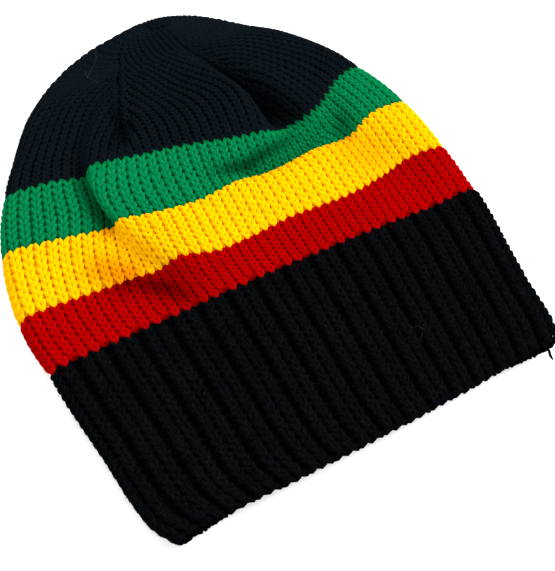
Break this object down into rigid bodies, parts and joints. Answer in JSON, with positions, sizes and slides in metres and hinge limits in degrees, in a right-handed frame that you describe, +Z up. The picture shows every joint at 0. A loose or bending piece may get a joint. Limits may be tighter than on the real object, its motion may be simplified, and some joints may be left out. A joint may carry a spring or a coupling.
{
  "type": "slouchy knit beanie",
  "caption": "Slouchy knit beanie lying flat and empty: ribbed band, three colour stripes and a folded crown, open at the band.",
  "frame": {"origin": "on the surface the beanie lies on, under the middle of its box", "axes": "+Z up from the surface, -Y out of the opening, +Y toward the crown, +X across the band"},
  "size_m": [0.2432, 0.2994, 0.0261],
  "materials": {
    "black_yarn": "soft matte knit with a faint fuzz",
    "red_yarn": "soft matte knit with a faint fuzz",
    "yellow_yarn": "soft matte knit with a faint fuzz",
    "green_yarn": "soft matte knit with a faint fuzz"
  },
  "bodies": {
    "root": {"rib_band": "black_yarn", "red_stripe": "red_yarn", "yellow_stripe": "yellow_yarn", "green_stripe": "green_yarn", "crown": "black_yarn"}
  },
  "joints": []
}
